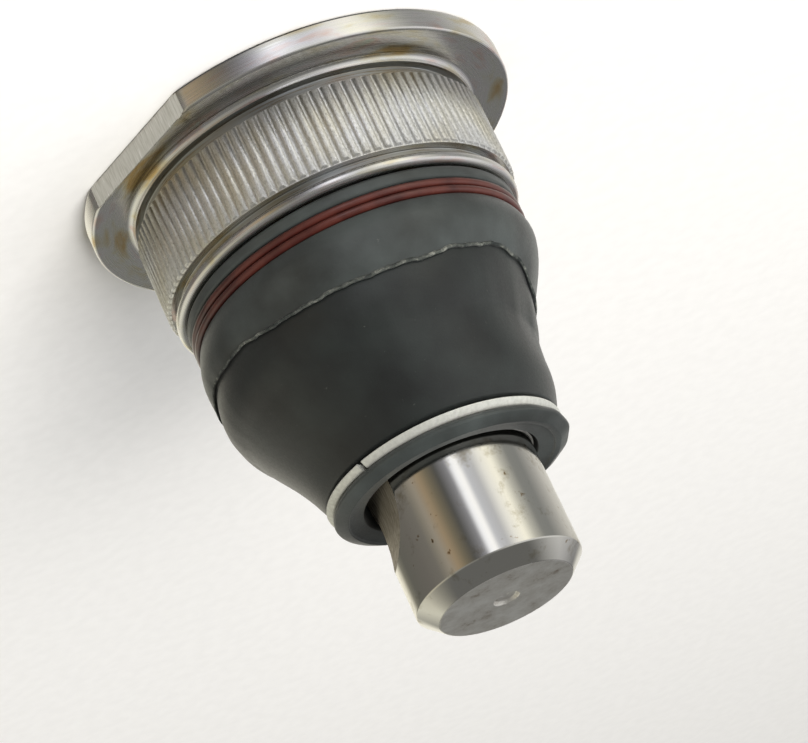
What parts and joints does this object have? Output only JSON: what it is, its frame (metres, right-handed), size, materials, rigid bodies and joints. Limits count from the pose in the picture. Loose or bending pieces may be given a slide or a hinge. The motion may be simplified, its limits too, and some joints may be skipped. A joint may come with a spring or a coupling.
{
  "type": "suspension ball joint",
  "caption": "Press-in suspension ball joint: knurled steel housing with a flange, rubber dust boot held by rings, and a pin with a pinch-bolt groove.",
  "frame": {"origin": "centre of the ball, on the axis of the housing and of the stud", "axes": "+Z along the housing towards the free end of the stud; +X towards the pinch-bolt groove with the stud at rest; +Y completes the right-handed frame"},
  "size_m": [0.0471, 0.047, 0.0556],
  "materials": {
    "polished_steel": "hardened and polished",
    "zinc_plated_steel": "turned, zinc plated and yellow passivated",
    "cover_steel": "pressed sheet, zinc plated",
    "acetal": "moulded, greased",
    "spring_steel": "hardened, oiled",
    "boot_rubber": "moulded, satin",
    "ring_band": "matt grey coated",
    "copper_wire": "copper-coloured lacquer on drawn wire"
  },
  "bodies": {
    "housing": {"housing": "zinc_plated_steel", "end_cover": "cover_steel", "preload_spring": "spring_steel"},
    "ball_seats": {"lower_ball_seat": "acetal", "upper_ball_seat": "acetal", "dust_boot": "boot_rubber", "boot_wire_ring": "copper_wire"},
    "boot_collar": {"boot_split_ring": "ring_band"},
    "ball_stud": {"ball_stud": "polished_steel"}
  },
  "joints": [
    {"name": "swing_direction", "type": "hinge", "parent": "housing", "child": "ball_seats", "pos_m": [0, 0, 0], "axis": [0, 0, 1], "continuous": true},
    {"name": "stud_swing", "type": "hinge", "parent": "ball_seats", "child": "boot_collar", "pos_m": [0, 0, 0], "axis": [0, 1, 0], "range_deg": [-25, 25], "deforming": ["dust_boot"]},
    {"name": "stud_spin", "type": "hinge", "parent": "boot_collar", "child": "ball_stud", "pos_m": [0, 0, 0], "axis": [0, 0, 1], "continuous": true}
  ]
}
